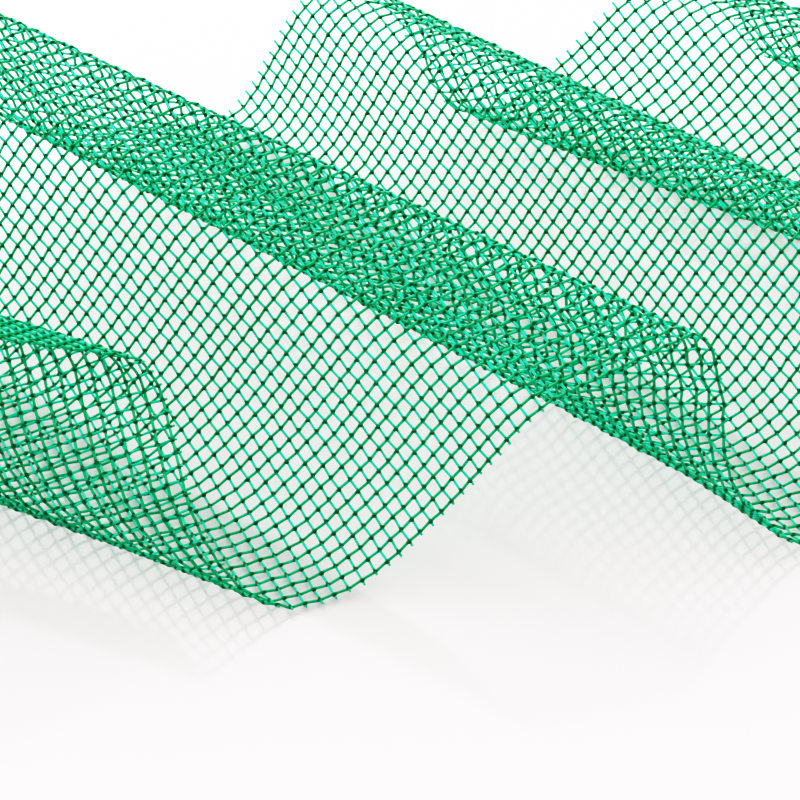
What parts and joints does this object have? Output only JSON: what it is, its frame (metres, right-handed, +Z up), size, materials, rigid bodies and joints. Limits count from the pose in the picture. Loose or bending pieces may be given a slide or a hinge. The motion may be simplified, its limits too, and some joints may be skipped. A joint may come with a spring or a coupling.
{
  "type": "pvc screen mesh length in wave folds",
  "caption": "Cut length of square-grid coated screen mesh lying in leaning, uneven wave folds, with a plain cut edge and a flat tail at each end.",
  "frame": {"origin": "middle of the floor box, on the surface that the sheet lies on", "axes": "+X along the cut edge that faces the viewer, +Y away from that edge, +Z up"},
  "size_m": [0.2814, 0.0924, 0.029],
  "materials": {
    "coated_yarn": "smooth, slightly glossy PVC coating, bright teal green"
  },
  "bodies": {
    "root": {"screen_sheet": "coated_yarn"}
  },
  "joints": []
}
